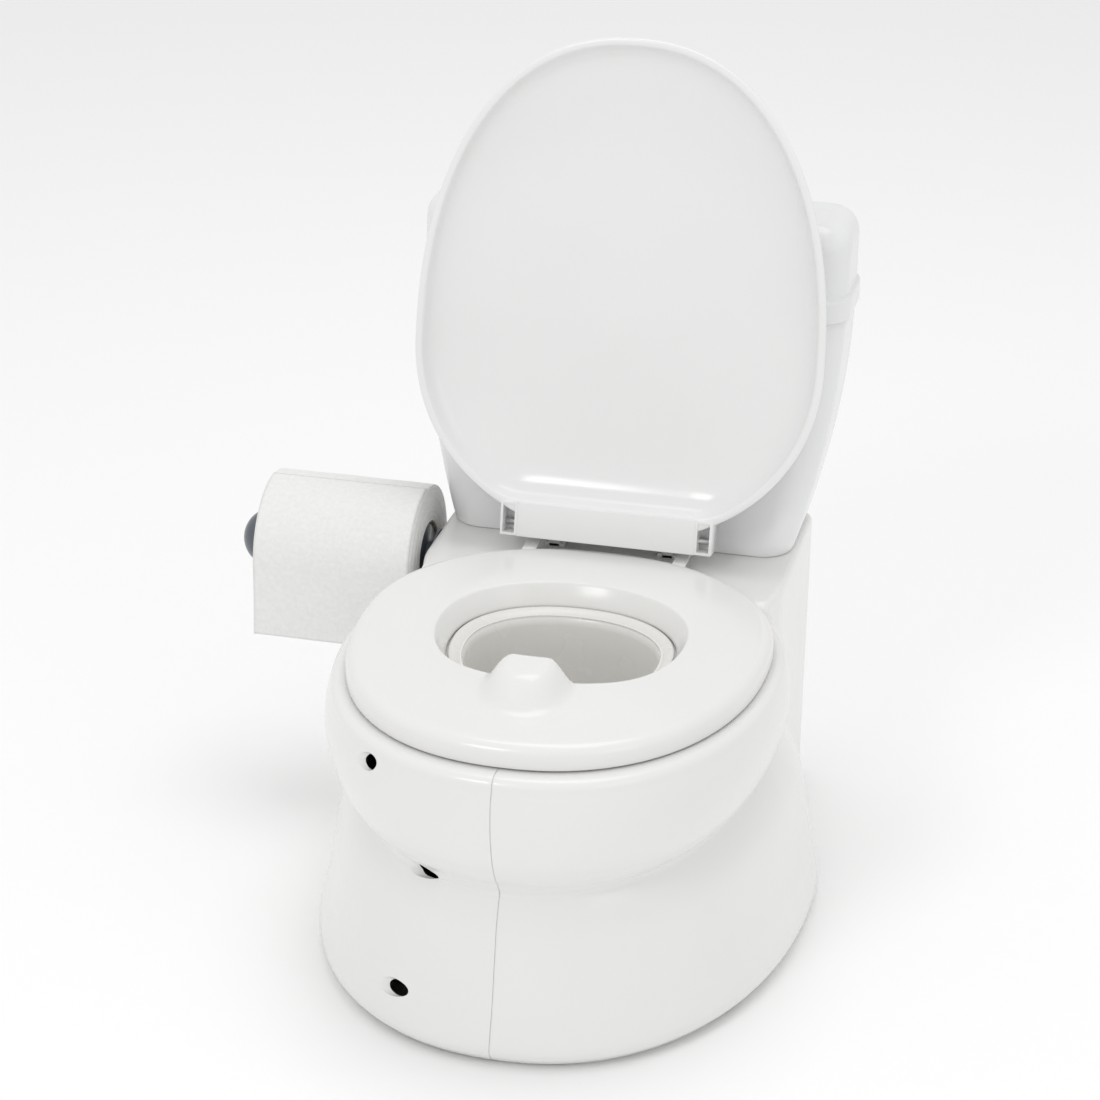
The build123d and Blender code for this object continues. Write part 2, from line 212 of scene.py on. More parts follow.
def egg(theta, centre_y, half, front, back, middle, nose=2.2, tail=2.15, inset=0.0):
    def outside(x, y):
        ahead = y < middle
        length = np.where(ahead, middle - front, back - middle) - inset
        power = np.where(ahead, nose, tail)
        return (np.abs(x) / (half - inset)) ** power + (np.abs(y - middle) / length) ** power > 1
    return reach(theta, centre_y, outside)


def column_reach(theta, centre_y, half=105.0, front=-75.0, back=112.0, front_corner=70.0, back_corner=16.0):
    def outside(x, y):
        middle, deep = (front + back) / 2, (back - front) / 2
        corner = np.where(y < middle, front_corner, back_corner)
        qx, qy = np.abs(x) - half + corner, np.abs(y - middle) - deep + corner
        return np.hypot(np.maximum(qx, 0), np.maximum(qy, 0)) + np.minimum(np.maximum(qx, qy), 0) > corner
    return reach(theta, centre_y, outside)


def ring_of(theta, radius, z, centre_y):
    radius = np.broadcast_to(radius, theta.shape)
    z = np.broadcast_to(z, theta.shape)
    return np.stack([radius * np.cos(theta), centre_y + radius * np.sin(theta), z], axis=1)


def rounded_rectangle(half, front, back, corner, arc=8, long_side=10, short_side=4):
    """Outline as points, starting on the right side."""
    points = []
    centres = [(half - corner, back - corner, 0), (-half + corner, back - corner, 90),
               (-half + corner, front + corner, 180), (half - corner, front + corner, 270)]
    for index, (cx, cy, start) in enumerate(centres):
        for step in range(arc + 1):
            angle = math.radians(start + 90 * step / arc)
            points.append((cx + corner * math.cos(angle), cy + corner * math.sin(angle)))
        nx, ny, after = centres[(index + 1) % 4]
        angle = math.radians(after)
        end = (nx + corner * math.cos(angle), ny + corner * math.sin(angle))
        here = points[-1]
        pieces = long_side if index % 2 == 0 else short_side
        for step in range(1, pieces):
            t = step / pieces
            points.append((here[0] + (end[0] - here[0]) * t, here[1] + (end[1] - here[1]) * t))
    return points


# ---- materials ----

def new_material(name, colour, roughness, metallic=0.0):
    material = bpy.data.materials.new(name)
    material.use_nodes = True
    tree = material.node_tree
    shader = tree.nodes["Principled BSDF"]
    shader.inputs["Base Color"].default_value = (*colour, 1)
    shader.inputs["Roughness"].default_value = roughness
    shader.inputs["Metallic"].default_value = metallic
    return material, tree, shader


def noise(tree, scale, detail=4.0, stretch=None):
    place = tree.nodes.new("ShaderNodeTexCoord")
    source = place.outputs["Object"]
    if stretch:
        mapping = tree.nodes.new("ShaderNodeMapping")
        mapping.inputs["Scale"].default_value = stretch
        tree.links.new(source, mapping.inputs["Vector"])
        source = mapping.outputs["Vector"]
    texture = tree.nodes.new("ShaderNodeTexNoise")
    texture.inputs["Scale"].default_value = scale
    texture.inputs["Detail"].default_value = detail
    tree.links.new(source, texture.inputs["Vector"])
    return texture.outputs["Fac"]


def remap(tree, value, low, high, start=0.3, end=0.7):
    node = tree.nodes.new("ShaderNodeMapRange")
    node.inputs["From Min"].default_value = start
    node.inputs["From Max"].default_value = end
    node.inputs["To Min"].default_value = low
    node.inputs["To Max"].default_value = high
    tree.links.new(value, node.inputs["Value"])
    return node.outputs["Result"]


def tint(tree, shader, value, dark, light):
    ramp = tree.nodes.new("ShaderNodeMix")
    ramp.data_type = "RGBA"
    ramp.inputs["A"].default_value = (*dark, 1)
    ramp.inputs["B"].default_value = (*light, 1)
    tree.links.new(value, ramp.inputs["Factor"])
    tree.links.new(ramp.outputs["Result"], shader.inputs["Base Color"])


def bump(tree, shader, heights, strength=1.0):
    """heights is a list of (value, depth in millimetres)."""
    normal = None
    for value, depth in heights:
        node = tree.nodes.new("ShaderNodeBump")
        node.inputs["Strength"].default_value = strength
        node.inputs["Distance"].default_value = depth * MM
        tree.links.new(value, node.inputs["Height"])
        if normal:
            tree.links.new(normal, node.inputs["Normal"])
        normal = node.outputs["Normal"]
    tree.links.new(normal, shader.inputs["Normal"])


def plastic(name, dark, light, roughness, sheen=0.5):
    """Moulded gloss plastic: faint mottling, slight flow waves and fine handling haze."""
    material, tree, shader = new_material(name, light, roughness)
    shader.inputs["IOR"].default_value = 1.48
    shader.inputs["Coat Weight"].default_value = sheen * 0.3
    shader.inputs["Coat Roughness"].default_value = 0.12
    tint(tree, shader, remap(tree, noise(tree, 9.0, 2.0), 0.0, 1.0), dark, light)
    haze = remap(tree, noise(tree, 30.0, 3.0), roughness - 0.02, roughness + 0.03)
    tree.links.new(haze, shader.inputs["Roughness"])
    bump(tree, shader, [(noise(tree, 18.0, 1.0), 0.12), (noise(tree, 900.0, 2.0), 0.01)])
    return material


def rubber(name):
    material, tree, shader = new_material(name, (0.03, 0.03, 0.032), 0.75)
    mottle = remap(tree, noise(tree, 60.0, 6.0), 0.0, 1.0)
    tint(tree, shader, mottle, (0.018, 0.018, 0.019), (0.05, 0.05, 0.052))
    bump(tree, shader, [(noise(tree, 700.0, 5.0), 0.12)])
    return material


def metal(name, colour):
    material, tree, shader = new_material(name, colour, 0.3, 1.0)
    haze = remap(tree, noise(tree, 300.0, 5.0, (1.0, 1.0, 6.0)), 0.2, 0.45)
    tree.links.new(haze, shader.inputs["Roughness"])
    bump(tree, shader, [(noise(tree, 900.0, 3.0), 0.02)])
    return material


def paper(name):
    """Soft tissue: fine fibres, a light emboss of small dots and a little tint."""
    material, tree, shader = new_material(name, (0.84, 0.84, 0.83), 0.95)
    shader.inputs["Sheen Weight"].default_value = 0.25
    mottle = remap(tree, noise(tree, 420.0, 8.0), 0.0, 1.0)
    tint(tree, shader, mottle, (0.8, 0.798, 0.788), (0.85, 0.848, 0.838))
    dots = tree.nodes.new("ShaderNodeTexVoronoi")
    dots.inputs["Scale"].default_value = 260.0
    dots.inputs["Randomness"].default_value = 0.25
    place = tree.nodes.new("ShaderNodeTexCoord")
    tree.links.new(place.outputs["Object"], dots.inputs["Vector"])
    fibres = noise(tree, 420.0, 8.0, (1.0, 3.0, 3.0))
    bump(tree, shader, [(dots.outputs["Distance"], 0.22), (fibres, 0.1)])
    return material


def card(name):
    material, tree, shader = new_material(name, (0.42, 0.36, 0.29), 0.9)
    tint(tree, shader, remap(tree, noise(tree, 220.0, 8.0), 0.0, 1.0), (0.33, 0.28, 0.22), (0.5, 0.44, 0.36))
    wave = tree.nodes.new("ShaderNodeTexWave")
    wave.bands_direction = "DIAGONAL"
    wave.inputs["Scale"].default_value = 14.0
    place = tree.nodes.new("ShaderNodeTexCoord")
    tree.links.new(place.outputs["Object"], wave.inputs["Vector"])
    bump(tree, shader, [(wave.outputs["Fac"], 0.1), (noise(tree, 500.0, 6.0), 0.1)])
    return material


BODY_WHITE = plastic("body_plastic", (0.80, 0.796, 0.78), (0.82, 0.817, 0.803), 0.22)
TANK_WHITE = plastic("tank_plastic", (0.785, 0.79, 0.79), (0.81, 0.814, 0.814), 0.24)
# Lid white is a lighter copy of the body white: painted light on the lid's dish.
LID_WHITE_PAINTED_LIGHT = plastic("lid_plastic", (0.82, 0.82, 0.818), (0.842, 0.842, 0.84), 0.18, 0.7)
# Pot white: the pot's own warmer tone, made darker as painted shade of the pot's interior.
POT_WARM_TONE_AND_SHADE = plastic("pot_plastic", (0.75, 0.738, 0.71), (0.78, 0.768, 0.742), 0.26)
GREY = plastic("grey_plastic", (0.075, 0.088, 0.105), (0.1, 0.115, 0.135), 0.32)
FOOT_RUBBER = rubber("foot_rubber")
SCREW_STEEL = metal("screw_steel", (0.55, 0.54, 0.52))
PIN_STEEL = metal("pin_steel", (0.62, 0.62, 0.61))
CARD = card("card")
TISSUE = paper("tissue")


# ---- body: bowl, pedestal and rear column as one flowing skin, in two halves ----

PEDESTAL = [
    (3.0, 133.5, -256.5, 70.0, -60.0),
    (8.0, 138.0, -261.0, 75.0, -60.0),
    (18.0, 137.5, -260.5, 75.0, -60.0),
    (30.0, 134.5, -257.0, 72.0, -60.0),
    (58.0, 130.0, -251.5, 68.0, -60.0),
    (83.0, 124.0, -246.0, 62.0, -60.0),
    (95.0, 117.0, -240.5, 56.0, -60.0),
    (108.0, 108.5, -231.0, 50.0, -60.0),
    (130.0, 92.0, -200.0, 30.0, -60.0),
    (150.0, 60.0, -150.0, 0.0, -60.0),
]
BOWL = [
    (86.0, 50.0, -200.0, -40.0, -105.0),
    (93.0, 84.0, -234.0, -10.0, -105.0),
    (103.0, 104.0, -247.0, 5.0, -105.0),
    (115.0, 114.5, -255.0, 15.0, -105.0),
    (130.0, 121.0, -260.0, 20.0, -105.0),
    (147.0, 124.0, -262.0, 20.0, -105.0),
    (160.0, 122.5, -260.5, 20.0, -105.0),
    (166.5, 120.0, -257.5, 18.0, -105.0),
]
BODY_Y = -70.0
FLOOR_GAP, RIM_Z, DECK_Z = 3.0, 169.5, 177.0
SEAT = (113.5, -248.0, 4.0, -103.0)
OPENING = (62.0, -172.0, -54.0, -108.0)
HEAD_X = -9.0
BODY_SCREWS = [(-237.5, 159.0), (-232.0, 97.0), (-243.5, 30.0), (98.0, 30.0), (98.0, 95.0), (98.0, 160.0)]


def body_rings(theta):
    column = column_reach(theta, BODY_Y)
    seat = egg(theta, BODY_Y, *SEAT) + 1.5
    hole = egg(theta, BODY_Y, *OPENING, inset=8.0)

    def side(z):
        foot = egg(theta, BODY_Y, *through(z, PEDESTAL))
        radius = smooth_max(column, foot, 12.0)
        if z > BOWL[0][0]:
            radius = smooth_max(radius, egg(theta, BODY_Y, *through(min(z, 163.0), BOWL)), 6.5)
        return radius

    heights = [3.0, 3.6, 4.6, 6.2, 8.5, 11.5, 15, 19, 23.5, 28.5, 34, 40, 46, 52, 58, 64, 70, 75.5, 80.5, 85]
    heights += [89 + 1.9 * i for i in range(25)] + [137.5, 141, 144.5, 148, 151.5, 155, 158.2, 161]
    rings = []
    start = side(heights[0])
    for share in (0.0, 0.3, 0.6, 0.8, 0.93):
        rings.append(ring_of(theta, start * share, FLOOR_GAP + (0.8 if share < 0.9 else 0.0), BODY_Y))
    for z in heights:
        rings.append(ring_of(theta, side(z), z, BODY_Y))
    top_side = smooth_max(column, egg(theta, BODY_Y, *through(163.0, BOWL)), 6.0)
    shoulder = smoothstep((column - seat - 0.5) / 9.0)
    level = RIM_Z + (DECK_Z - RIM_Z) * shoulder
    ease = 6.0 - 1.8 * shoulder
    for step in range(7):
        angle = math.pi / 2 * step / 6
        radius = top_side - ease * (1 - math.cos(angle))
        rings.append(ring_of(theta, radius, level - ease * (1 - math.sin(angle)), BODY_Y))
    edge = top_side - ease
    lip = np.minimum(seat, edge - 0.6)
    for share in (0.08, 0.2, 0.4, 0.6, 0.8, 0.93, 1.0):
        radius = edge + (lip + 0.5 * shoulder - edge) * share
        rings.append(ring_of(theta, radius, level, BODY_Y))
    for share, back in ((0.96, 0.15), (0.87, 0.0), (0.5, 0.0), (0.12, 0.0), (0.0, -0.6)):
        rings.append(ring_of(theta, lip + back * shoulder, RIM_Z + (level - RIM_Z) * share, BODY_Y))
    for share in (0.2, 0.4, 0.6, 0.8, 0.95, 1.0):
        rings.append(ring_of(theta, lip - 0.8 + (hole - lip + 0.8) * share, RIM_Z, BODY_Y))
    rings.append(ring_of(theta, hole, RIM_Z - 2.5, BODY_Y))
    return rings


def make_body_half(side, name):
    spans = [(-90, -88.9, 0.35), (-88.9, -60, 1.7), (-60, 44, 1.9), (44, 51, 1.2),
             (51, 69, 0.75), (69, 88.9, 1.7), (88.9, 90, 0.35)]
    angles = []
    for low, high, step in spans:
        count = max(1, round((high - low) / step))
        angles += [low + (high - low) * i / count for i in range(count)]
    theta = np.radians(np.array(angles + [90.0]))
    rings = []
    for ring in body_rings(theta):
        ring = ring.copy()
        for index in (0, -1):  # the parting line is a fine groove down the middle
            ring[index, 1] -= math.copysign(0.2, ring[index, 1] - BODY_Y)
            ring[index, 0] = 0.05
        ring[:, 0] = np.maximum(ring[:, 0], 0.05) * side
        rings.append([tuple(p) for p in ring])
    shell = skin(name, rings, closed=False, sharp=60)
    m = shell.modifiers.new("wall", "SOLIDIFY")
    m.thickness = 2.4 * MM
    m.offset = -1.0
    m.use_quality_normals = True
    return apply_modifiers(shell)


right = make_body_half(1, "body_half_right")
finish_piece(right, "base", "body", BODY_WHITE, "body_right_half")

left = make_body_half(-1, "body_half_left")
tools, liners = [], []
for y, z in BODY_SCREWS:
    depths = []
    for i in range(12):
        dy, dz = 5.0 * math.cos(i * math.pi / 6), 5.0 * math.sin(i * math.pi / 6)
        place = left.ray_cast(Vector((-300.0, y + dy, z + dz)) * MM, Vector((1, 0, 0)))[1]
        depths.append(place.x / MM)
    near, deep = min(depths), max(depths)
    mouth = [(6.0, near - 6.0), (3.9, deep + 0.8), (3.9, deep + 9.0)]
    tools.append(lathe("tool", mouth, (0, y, z), count=40))
    step = deep + 7.0
    liner = [(4.0, deep + 0.4), (4.9, deep + 0.9), (4.9, -12.4), (3.4, -12.4), (2.2, step + 1.0),
             (2.2, step + 0.3), (2.5, step), (3.6, step), (4.0, step - 0.5)]
    liners.append(lathe("liner", liner, (0, y, z), count=32, loop=True))
tools.append(lathe("tool", [(13.1, -110.0), (13.1, -96.0)], (0, 20.0, 160.0), count=48))
cut(left, *tools)
left = join("body_half_left", left, *liners)
finish_piece(left, "base", "body", BODY_WHITE, "body_left_half")


# ---- seat ring with its splash guard ----

RING_Y = -110.0
SEAT_TOP = 184.0
HINGE_Y, HINGE_Z = 4.4, 194.4
LUG_X, BLOCK_X = 44, 33.5


def guard_height(x, y):
    """Hump at the front of the opening, over the seat's top."""
    length = np.where(y < -184.0, 34.0, 18.0)
    e = ((np.abs(x) / 25.0) ** 2.4 + (np.abs(y + 184.0) / length) ** 2.4) ** (1 / 2.4)
    broad = (2.6 * smoothstep((66.0 - np.abs(x)) / 50.0) * smoothstep((-128.0 - y) / 45.0)
             * smoothstep((y + 225.0) / 45.0))
    return np.maximum(14.3 * smoothstep((1.0 - e) / 0.55), 0) + broad


def barrel_outline(legs):
    """Side view of a hinge arm: round barrel on the hinge line, then the corners of its leg."""
    points = []
    for step in range(25):
        angle = math.radians(30 + 300 * step / 24)
        points.append((HINGE_Y + 4.4 * math.cos(angle), HINGE_Z + 4.4 * math.sin(angle)))
    return points + legs


def make_seat():
    theta = np.radians(np.arange(0, 360, 1.875))
    outer = egg(theta, RING_Y, *SEAT)
    inner = egg(theta, RING_Y, *OPENING)
    rings = []

    def put(radius, z, lift=0.0):
        ring = ring_of(theta, radius, z, RING_Y)
        if np.any(lift):
            ring[:, 2] += lift * guard_height(ring[:, 0], ring[:, 1])
        rings.append(ring)

    for radius, z in ((-2.6, 170.5), (-0.8, 170.5), (-0.2, 170.8), (0.0, 171.6), (0.0, 173.5), (0.0, 176.0)):
        put(outer + radius, z)
    for step in range(1, 9):
        angle = math.pi / 2 * step / 8
        put(outer - 7.5 * (1 - math.cos(angle)), SEAT_TOP - 0.4 - 7.0 * (1 - math.sin(angle)))
    shares = np.linspace(0, 1, 23)[1:]
    start, end = outer - 7.5, inner + 7.0
    for share in shares:
        crown = 0.4 * math.sin(math.pi * share)
        put(start + (end - start) * (1 - (1 - share) ** 1.3), SEAT_TOP - 0.4 + crown, 1.0)
    for radius, z, lift in ((6.6, 183.5, 0.98), (6.1, 183.0, 0.92), (5.4, 181.9, 0.78), (4.6, 180.6, 0.6),
                            (3.7, 179.1, 0.42), (2.8, 177.5, 0.25), (1.9, 175.8, 0.12), (1.1, 174.0, 0.04),
                            (0.5, 172.5, 0.0), (0.2, 171.3, 0.0), (0.5, 170.7, 0.0), (1.2, 170.5, 0.0),
                            (2.6, 170.5, 0.0), (3.2, 171.2, 0.0), (4.6, 174.5, 0.0), (6.6, 177.4, 0.0),
                            (9.5, 179.6, 0.0)):
        put(inner + radius, z, lift)
    put((inner + outer) / 2, 180.2)
    for radius, z in ((-11.0, 180.0), (-6.0, 178.6), (-3.6, 176.0), (-3.1, 171.2)):
        put(outer + radius, z)
    return skin("seat", rings, loop=True, sharp=70)


seat_legs = [(12.4, 192.2), (12.4, 183.2), (-12.0, 183.2), (-12.0, 181.2), (15.0, 181.2), (15.0, 196.6)]
lugs = [extrude_x("lug", barrel_outline(seat_legs), side * LUG_X - 4, side * LUG_X + 4) for side in (-1, 1)]
finish_piece(join("seat", make_seat(), *lugs), "seat", "body", BODY_WHITE, "seat_ring")


# ---- pot ----

def make_pot():
    theta = np.radians(np.arange(0, 360, 2.5))
    rings = []
    levels = [(1.4, 169.6), (0.9, 170.1), (0.9, 171.2), (1.2, 171.8), (1.9, 172.0), (3.2, 171.7),
              (5.0, 170.9),
              (7.2, 169.4), (9.0, 167.2), (9.7, 164.0), (10.2, 150.0), (11.8, 130.0), (13.2, 112.0),
              (14.6, 97.0), (16.0, 85.0),
              (18.0, 76.0), (21.0, 70.0), (25.0, 66.5), (30.0, 65.0), (36.0, 64.6), (44.0, 64.4),
              (52.0, 64.3)]
    for inset, z in reversed(levels):
        rings.append(ring_of(theta, egg(theta, RING_Y, *OPENING, inset=inset), z, RING_Y))
    outside = [(7.4, 169.5), (7.9, 150.0), (9.4, 130.0), (10.8, 112.0), (12.2, 97.0), (13.6, 85.0),
               (15.6, 75.0),
               (18.6, 67.5), (23.0, 63.6), (29.0, 62.2), (36.0, 62.0), (44.0, 62.0), (52.0, 62.0)]
    for inset, z in outside:
        rings.append(ring_of(theta, egg(theta, RING_Y, *OPENING, inset=inset), z, RING_Y))
    return skin("pot", rings, cap_first=True, cap_last=True, sharp=60)


finish_piece(make_pot(), "pot", "pot_white", POT_WARM_TONE_AND_SHADE, "pot")


# ---- toilet lid: a shallow dish on two hollow knuckles, open ----

LID_HALF, LID_LENGTH, LID_BACK, LID_WIDEST = 118.0, 284.0, 8.0, 108.0
LID_RIM = 186.5
KNUCKLE_X = 57.0
LID_TURN = math.radians(100.7)


def opened(point):
    x, y, z = point
    dy, dz = y - HINGE_Y, z - HINGE_Z
    c, s = math.cos(-LID_TURN), math.sin(-LID_TURN)
    return (x, HINGE_Y + dy * c - dz * s, HINGE_Z + dy * s + dz * c)


def open_up(obj):
    for vertex in obj.data.vertices:
        x, y, z = (v / MM for v in vertex.co)
        vertex.co = [v * MM for v in opened((x, y, z))]
    return obj


def make_lid():
    centre = -112.0
    theta = np.radians(np.arange(0, 360, 1.5))
    front, middle = LID_BACK - LID_LENGTH, LID_BACK - LID_WIDEST

    def outline(inset):
        return egg(theta, centre, LID_HALF, front, LID_BACK, middle, 2.24, 2.1, inset)

    def clipped(inset, line):
        upward = np.maximum(np.sin(theta), 1e-3)
        return smooth_min(outline(inset), np.where(np.sin(theta) > 0.02, (line - centre) / upward, 1e3), 5.0)

    rings = []

    def put(radius, z):
        rings.append(ring_of(theta, radius, z, centre))

    full = outline(0.0)
    dome = clipped(0.0, -7.3)
    for inset, z in ((34.0, 17.5), (27.0, 17.2), (21.0, 16.5), (16.0, 15.3), (11.5, 13.5), (7.6, 11.2),
                     (4.6, 8.6),
                     (2.6, 6.2), (1.4, 4.6), (0.8, 3.9)):
        put(dome - inset, LID_RIM + z)
    put(np.maximum(dome, full - 60) - 0.3, LID_RIM + 3.3)
    shelf = np.minimum(full - 0.3, np.maximum(dome + 0.3, full - 60))
    put(shelf, LID_RIM + 3.0)
    put(full - 0.25, LID_RIM + 2.9)
    for inset, z in ((0.05, 2.4), (0.0, 1.6), (0.15, 0.8), (0.6, 0.25), (1.3, 0.0)):
        put(outline(inset), LID_RIM + z)
    bead = clipped(3.6, -9.6)
    put(np.maximum(bead, clipped(3.0, -8.8)), LID_RIM)
    for inset, z in ((0.0, 0.15), (0.5, 0.6), (1.0, 1.4), (1.6, 2.6), (2.4, 4.0), (3.6, 5.6), (5.4, 7.2),
                     (8.0, 8.8),
                     (11.5, 10.2), (16.0, 11.4), (21.5, 12.5), (28.0, 13.4), (35.0, 14.1), (43.0, 14.6),
                     (52.0, 14.9),
                     (62.0, 15.1)):
        put(bead - inset, LID_RIM + z)
    body = skin("lid", rings, cap_first=True, cap_last=True, sharp=60)
    parts = [body, box("bar", (-52.4, 52.4), (-9.0, 11.6), (186.3, 189.6), 0.7)]
    for side in (-1, 1):
        x = side * KNUCKLE_X
        shell = box("knuckle", (x - 5.2, x + 5.2), (-9.5, 11.4), (185.9, 199.2), 1.0)
        hollow = box("tool", (x - 3.5, x + 3.5), (-7.4, 9.6), (180.0, 197.4), 0.6)
        parts.append(cut(shell, hollow))
    return open_up(join("lid", *parts))


finish_piece(make_lid(), "lid", "lid_white", LID_WHITE_PAINTED_LIGHT, "toilet_lid")


# ---- hinge ----

for side, word in ((-1, "left"), (1, "right")):
    x = side * BLOCK_X
    legs = [(12.4, 192.2), (12.4, 177.0), (15.0, 177.0), (15.0, 196.6)]
    upright = extrude_x("upright", barrel_outline(legs), x - 3.5, x + 3.5)
    base = box("base", (x - 6, x + 6), (12.4, 21.4), (177.0, 180.0), 0.7)
    rib = box("rib", (x - 3.5, x + 3.5), (12.6, 20.4), (178.0, 189.0), 0.7)
    block = join(f"hinge_block_{word}", upright, base, rib)
    finish_piece(block, "base", "body", BODY_WHITE, f"hinge_block_{word}")
    start, end = sorted((side * 30.1, side * 62.1))
    profile = [(1.7, start), (2.0, start + 0.3), (2.0, end - 0.3), (1.7, end)]
    pin = lathe(f"hinge_pin_{word}", profile, (0, HINGE_Y, HINGE_Z), count=32)
    finish_piece(pin, "base", "pin_steel", PIN_STEEL, f"hinge_pin_{word}")


# ---- screws ----

def screw(at, axis, head_height, length, up=1):
    """Pan-head screw whose head's seat is at the given point; up is the head's side."""
    profile = [(0.0, head_height), (1.2, head_height), (2.2, head_height * 0.93), (2.9, head_height * 0.7),
               (3.2, head_height * 0.35), (3.2, 0.0), (1.6, 0.0)]
    turns = int(length / 0.7)
    for i in range(turns):
        profile += [(1.6, -0.7 * i - 0.1), (1.3, -0.7 * i - 0.4)]
    profile += [(1.2, -length + 0.6), (0.4, -length)]
    part = lathe("screw", [(r, up * a) for r, a in profile], at, axis, 24)
    h = head_height * up
    tools = []
    for wide, deep in ((0.45, 2.0), (2.0, 0.45)):
        if axis == "x":
            near, far = sorted((at[0] + h * 0.45, at[0] + h * 1.6))
            spans = [(near, far), (at[1] - wide, at[1] + wide), (at[2] - deep, at[2] + deep)]
        else:
            near, far = sorted((at[2] + h * 0.45, at[2] + h * 1.6))
            spans = [(at[0] - wide, at[0] + wide), (at[1] - deep, at[1] + deep), (near, far)]
        tools.append(box("tool", *spans, 0.05))
    return cut(part, *tools)


screws = [screw((HEAD_X, y, z), "x", 3.0, 20.0, -1) for y, z in BODY_SCREWS]
finish_piece(join("body_screws", *screws), "base", "screw_steel", SCREW_STEEL, "body_screws")
TANK_SCREWS = [(-60.0, 46.0), (60.0, 46.0), (-60.0, 92.0), (60.0, 92.0)]
screws = [screw((x, y, 179.5), "z", 2.4, 14.0) for x, y in TANK_SCREWS]
finish_piece(join("tank_screws", *screws), "base", "screw_steel", SCREW_STEEL, "tank_screws")
screws = [screw((x, HINGE_Y + 12.0, 174.4), "z", 2.4, 11.0, -1) for x in (-BLOCK_X, BLOCK_X)]
finish_piece(join("hinge_screws", *screws), "base", "screw_steel", SCREW_STEEL, "hinge_screws")


# ---- feet ----

FEET = {"foot_front_left": (-97.0, -178.0, -50.0), "foot_front_right": (97.0, -178.0, 50.0),
        "foot_rear_left": (-82.0, 88.0, 0.0), "foot_rear_right": (82.0, 88.0, 0.0)}


def make_foot(name, x, y, turn):
    rings = []
    turned = Matrix.Rotation(math.radians(turn), 3, "Z")
    for grow, z in ((-5.2, 0.9), (-4.4, 0.9), (-3.9, 0.5), (-3.5, 0.1), (-2.9, 0.0), (-1.2, 0.0), (-0.5, 0.2),
                    (-0.1, 0.7), (0.0, 1.4), (0.0, 2.9), (-0.3, 3.7), (-1.0, 4.0)):
        ring = []
        for px, py in rounded_rectangle(17.0 + grow, -7.5 - grow, 7.5 + grow, 7.4 + grow, 8, 6, 1):
            p = turned @ Vector((px, py, 0))
            ring.append((x + p.x, y + p.y, z))
        rings.append(ring)
    return skin(name, rings, cap_first=True, cap_last=True, sharp=60)


for name, (x, y, turn) in FEET.items():
    finish_piece(make_foot(name, x, y, turn), "base", "foot_rubber", FOOT_RUBBER, name)


# ---- tank and its lid ----

TANK_LID_TOP, TANK_BACK = 372.0, 111.0


def tank_ring(z, grow, at=None):
    rise = ((z if at is None else at) - DECK_Z) / (TANK_LID_TOP - DECK_Z)
    half = 101.0 + 22.5 * math.sin(min(rise / 0.72, 1.0) * math.pi / 2) ** 0.9 + grow
    front, back = 28.0 + 21.0 * rise - grow, TANK_BACK + grow
    corner = max(18.0 + grow, 1.5)
    return [(x, y, z) for x, y in rounded_rectangle(half, front, back, corner, 9, 14, 5)]


def inward(ring, shares, lift=0.0):
    """Rings that shrink towards the middle of one, to close a flat or crowned face."""
    middle = np.mean(np.array(ring), axis=0)
    made = []
    for share in shares:
        level = lift * (1 - share * share)
        made.append([tuple(middle + (np.array(p) - middle) * share + np.array((0, 0, level))) for p in ring])
    return made


def make_tank():
    rings = list(reversed(inward(tank_ring(177.05, -2.0, 177.0), (0.8, 0.5, 0.2))))
    for z, grow in ((177.05, -1.6), (177.2, -0.8), (177.7, -0.2), (178.6, 0.0)):
        rings.append(tank_ring(z, grow, max(z, 177.0)))
    for i in range(1, 24):
        rings.append(tank_ring(178.6 + (316.3 - 178.6) * i / 24, 0.0))
    for z, grow in ((316.5, 0.0), (316.9, -0.3), (317.0, -0.8), (317.0, -1.7), (316.8, -2.2), (316.3, -2.5)):
        rings.append(tank_ring(z, grow))
    for i in range(1, 20):
        rings.append(tank_ring(316.3 - (316.3 - 183.0) * i / 20, -2.5))
    rings += [tank_ring(181.0, -3.0), tank_ring(179.9, -4.4), tank_ring(179.5, -7.0)]
    rings += inward(rings[-1], (0.8, 0.5, 0.2))
    return skin("tank", rings, cap_first=True, cap_last=True, sharp=60)


